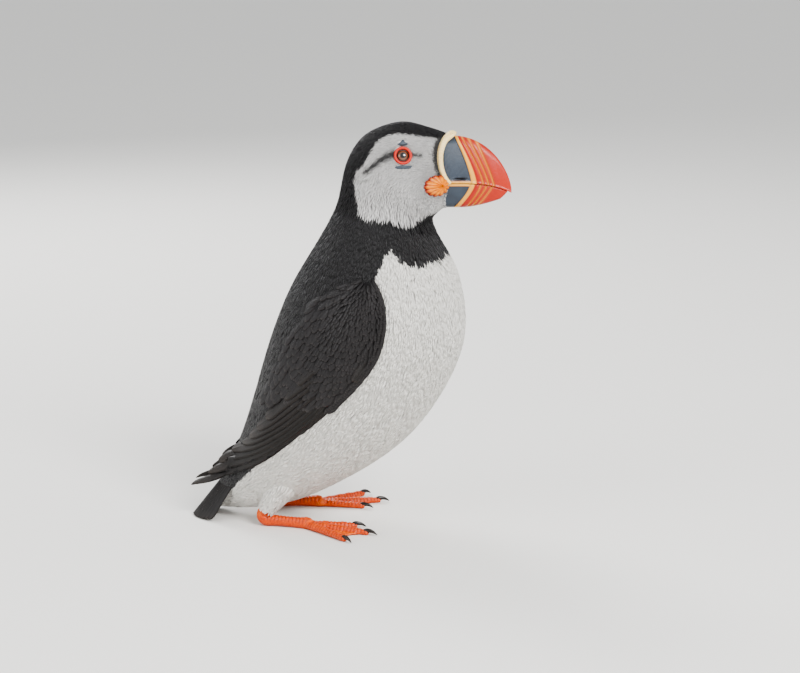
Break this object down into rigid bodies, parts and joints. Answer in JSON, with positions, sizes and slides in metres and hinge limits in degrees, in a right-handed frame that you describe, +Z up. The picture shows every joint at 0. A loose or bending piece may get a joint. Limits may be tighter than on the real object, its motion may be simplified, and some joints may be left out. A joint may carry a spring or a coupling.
{
  "type": "atlantic puffin",
  "caption": "Life-size Atlantic puffin in summer dress, standing upright with folded wings, closed deep banded bill, short tail on the ground and webbed feet.",
  "frame": {"origin": "on the floor, at the centre of the bounding box seen from above", "axes": "+Z up, +X the way the bill points, +Y the bird's left"},
  "size_m": [0.1748, 0.1024, 0.2184],
  "materials": {
    "black_plumage": "soft satin feathers",
    "face_plumage": "matt short feathers",
    "white_plumage": "matt silky feathers",
    "red_bill": "waxy ridged horn, slate at the base and red outside",
    "cream_rim": "matt pitted horn",
    "orange_skin": "soft wrinkled skin",
    "red_lid": "bare skin",
    "slate_horn": "matt horn",
    "dark_eye": "wet gloss",
    "orange_foot": "scaly skin",
    "black_claw": "satin horn"
  },
  "bodies": {
    "root": {"trunk": "white_plumage", "mantle": "black_plumage", "neck": "black_plumage", "head": "face_plumage", "crown": "black_plumage", "tail": "black_plumage", "bill_upper": "red_bill", "bill_lower": "red_bill", "bill_rim": "cream_rim", "wing_right": "black_plumage", "wing_left": "black_plumage", "eye_right": "dark_eye", "eye_left": "dark_eye", "eye_ring_right": "red_lid", "eye_ring_left": "red_lid", "brow_plate_right": "slate_horn", "brow_plate_left": "slate_horn", "cheek_plate_right": "slate_horn", "cheek_plate_left": "slate_horn", "gape_rosette_right": "orange_skin", "gape_rosette_left": "orange_skin", "leg_right": "orange_foot", "leg_left": "orange_foot", "foot_right": "orange_foot", "foot_left": "orange_foot", "claw_inner_right": "black_claw", "claw_inner_left": "black_claw", "claw_middle_right": "black_claw", "claw_middle_left": "black_claw", "claw_outer_right": "black_claw", "claw_outer_left": "black_claw"}
  },
  "joints": []
}
